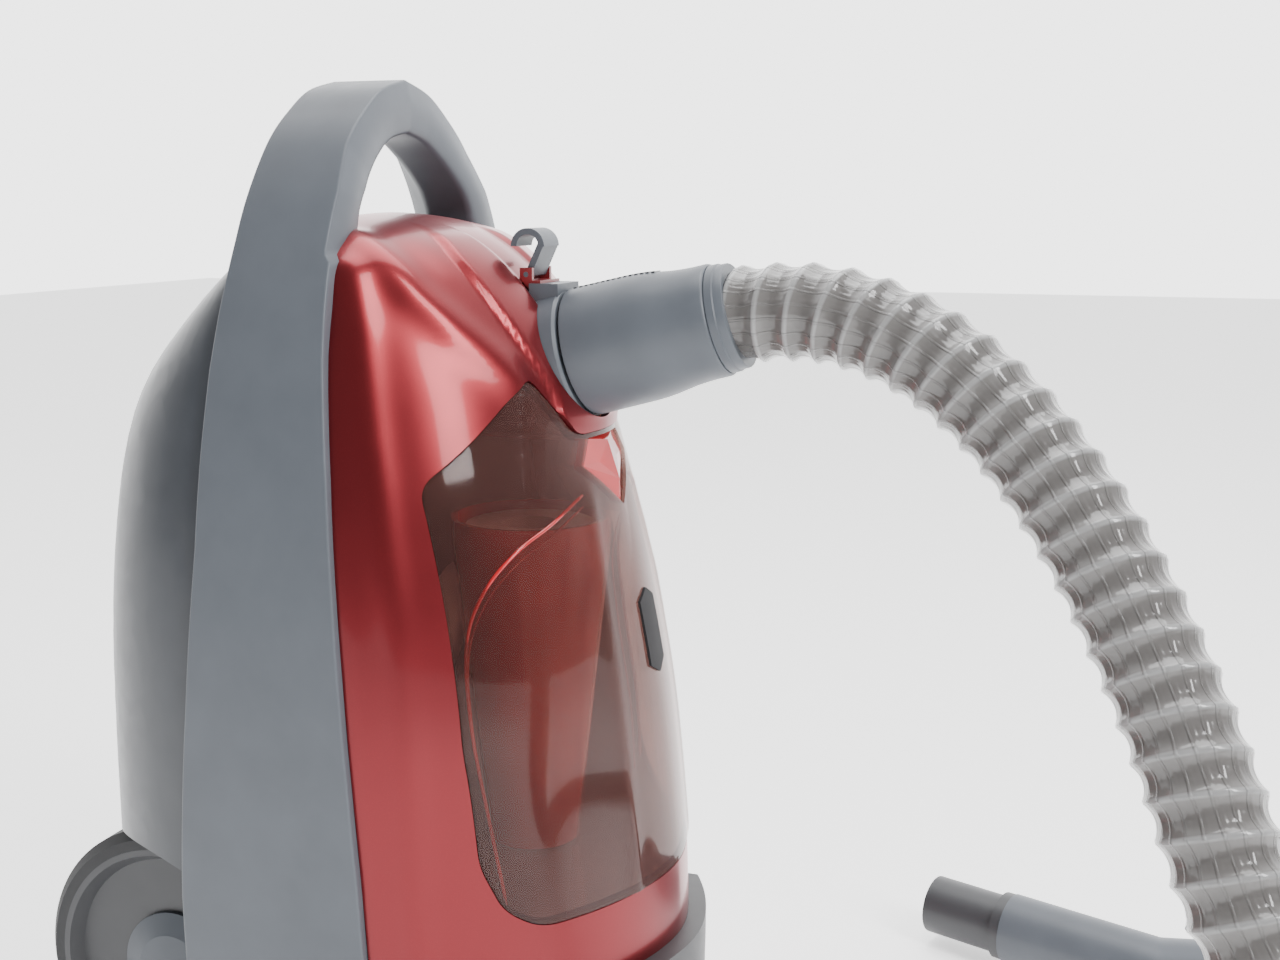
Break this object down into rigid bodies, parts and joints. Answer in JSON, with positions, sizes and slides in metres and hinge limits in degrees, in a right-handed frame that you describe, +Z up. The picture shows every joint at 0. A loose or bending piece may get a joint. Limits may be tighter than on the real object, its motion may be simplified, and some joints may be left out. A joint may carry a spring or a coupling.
{
  "type": "canister vacuum cleaner",
  "caption": "Canister vacuum cleaner standing on its tail: grey band that forms the carry handle, red shell, clear dirt cup and ribbed hose.",
  "frame": {"origin": "on the floor under the middle of the body as it stands on its tail", "axes": "+Z up from the tail to the carry handle, -Y to the front where the cup and the hose port are, X across the body"},
  "size_m": [0.46, 1.0003, 0.5135],
  "materials": {
    "band_plastic": "satin",
    "red_shell": "pearl gloss",
    "dark_red": "gloss",
    "dark_plastic": "satin",
    "smoke_clear": "clear smoke tint",
    "red_clear": "clear red tint",
    "filter_media": "pleated",
    "spring_steel": "bright",
    "badge": "gloss",
    "housing_plastic": "satin",
    "axle_steel": "turned",
    "wheel_rubber": "matt",
    "motor_steel": "pressed",
    "motor_alloy": "cast",
    "copper_winding": "lacquered",
    "board": "satin",
    "hose_vinyl": "smoky translucent gloss"
  },
  "bodies": {
    "housing": {"side_band": "band_plastic", "port_collar": "band_plastic", "front_shell": "red_shell", "front_bumper": "dark_plastic", "pedal_tray": "dark_plastic", "base_housing": "housing_plastic", "exhaust_filter": "filter_media", "cord_gland": "dark_plastic", "axle_left": "axle_steel", "axle_right": "axle_steel", "filter_frame": "dark_plastic", "filter_foam": "filter_media", "cup_gasket": "wheel_rubber", "motor_can": "motor_steel", "motor_winding": "copper_winding", "motor_mount_front": "wheel_rubber", "motor_mount_rear": "wheel_rubber", "reel_axle": "axle_steel", "reel_bracket": "motor_steel", "control_board": "board", "mains_switch": "dark_plastic", "inlet_duct": "dark_plastic", "latch_base": "dark_red", "parking_feet": "wheel_rubber", "tail_plate": "dark_plastic", "power_pedal_spring": "spring_steel", "rewind_pedal_spring": "spring_steel", "case_screws": "axle_steel", "hose": "hose_vinyl", "grip_cuff": "band_plastic", "hand_grip": "band_plastic", "wand_end": "dark_plastic"},
    "latch": {"port_latch": "band_plastic"},
    "cuff": {"hose_cuff": "band_plastic", "cuff_end_ring": "band_plastic"},
    "cup": {"dirt_cup": "smoke_clear", "cup_back_plate": "dark_plastic", "cyclone_cone": "red_clear", "fine_filter": "filter_media", "button_spring": "spring_steel", "cup_badge": "badge"},
    "cup_button": {"cup_button": "red_clear"},
    "power_pedal": {"power_pedal": "dark_plastic"},
    "rewind_pedal": {"rewind_pedal": "dark_plastic"},
    "exhaust_door": {"exhaust_door": "housing_plastic"},
    "wheel_left": {"tyre_left": "wheel_rubber", "rim_left": "dark_plastic", "hubcap_left": "band_plastic"},
    "wheel_right": {"tyre_right": "wheel_rubber", "rim_right": "dark_plastic", "hubcap_right": "band_plastic"},
    "rotor": {"motor_shaft": "axle_steel", "motor_fan": "motor_alloy", "motor_rotor": "motor_steel"},
    "reel": {"cord_drum": "dark_plastic", "reel_spring_case": "dark_plastic"},
    "caster": {"caster_fork": "dark_plastic"},
    "caster_wheel": {"caster_roller": "wheel_rubber"},
    "bleed": {"bleed_slider": "dark_plastic"}
  },
  "joints": [
    {"name": "latch_hinge", "type": "hinge", "parent": "housing", "child": "latch", "pos_m": [0, -0.07, 0.4255], "axis": [1, 0, 0], "range_deg": [-20, 0], "stiffness_Nm_per_rad": 0.02},
    {"name": "cuff_swivel", "type": "hinge", "parent": "housing", "child": "cuff", "pos_m": [0, -0.0938, 0.3899], "axis": [0, -0.969, 0.247], "continuous": true},
    {"name": "cup_slide", "type": "slide", "parent": "housing", "child": "cup", "axis": [0, -1, 0], "range_m": [0, 0.1]},
    {"name": "cup_button_press", "type": "slide", "parent": "cup", "child": "cup_button", "axis": [0, 1, 0], "range_m": [0, 0.002], "stiffness_N_per_m": 400, "deforming": ["button_spring"]},
    {"name": "power_pedal_press", "type": "slide", "parent": "housing", "child": "power_pedal", "axis": [0, 1, 0], "range_m": [0, 0.004], "stiffness_N_per_m": 900, "deforming": ["power_pedal_spring"]},
    {"name": "rewind_pedal_press", "type": "slide", "parent": "housing", "child": "rewind_pedal", "axis": [0, 1, 0], "range_m": [0, 0.004], "stiffness_N_per_m": 900, "deforming": ["rewind_pedal_spring"]},
    {"name": "exhaust_door_hinge", "type": "hinge", "parent": "housing", "child": "exhaust_door", "pos_m": [0, 0.1262, 0.176], "axis": [1, 0, 0], "range_deg": [-80, 0]},
    {"name": "wheel_left_spin", "type": "hinge", "parent": "housing", "child": "wheel_left", "pos_m": [-0.087, 0.08, 0.1], "axis": [1, 0, 0], "continuous": true},
    {"name": "wheel_right_spin", "type": "hinge", "parent": "housing", "child": "wheel_right", "pos_m": [0.087, 0.08, 0.1], "axis": [1, 0, 0], "continuous": true},
    {"name": "motor_spin", "type": "hinge", "parent": "housing", "child": "rotor", "pos_m": [0, 0.05, 0.255], "axis": [0, 1, 0], "continuous": true},
    {"name": "reel_spin", "type": "hinge", "parent": "housing", "child": "reel", "pos_m": [0, 0.045, 0.096], "axis": [1, 0, 0], "continuous": true},
    {"name": "caster_swivel", "type": "hinge", "parent": "housing", "child": "caster", "pos_m": [0, 0.126, 0.296], "axis": [0, 1, 0], "continuous": true},
    {"name": "bleed_slide", "type": "slide", "parent": "housing", "child": "bleed", "axis": [-0.2149, 0.9766, 0], "range_m": [0, 0.01]},
    {"name": "caster_wheel_spin", "type": "hinge", "parent": "caster", "child": "caster_wheel", "pos_m": [0, 0.14, 0.289], "axis": [1, 0, 0], "continuous": true}
  ]
}
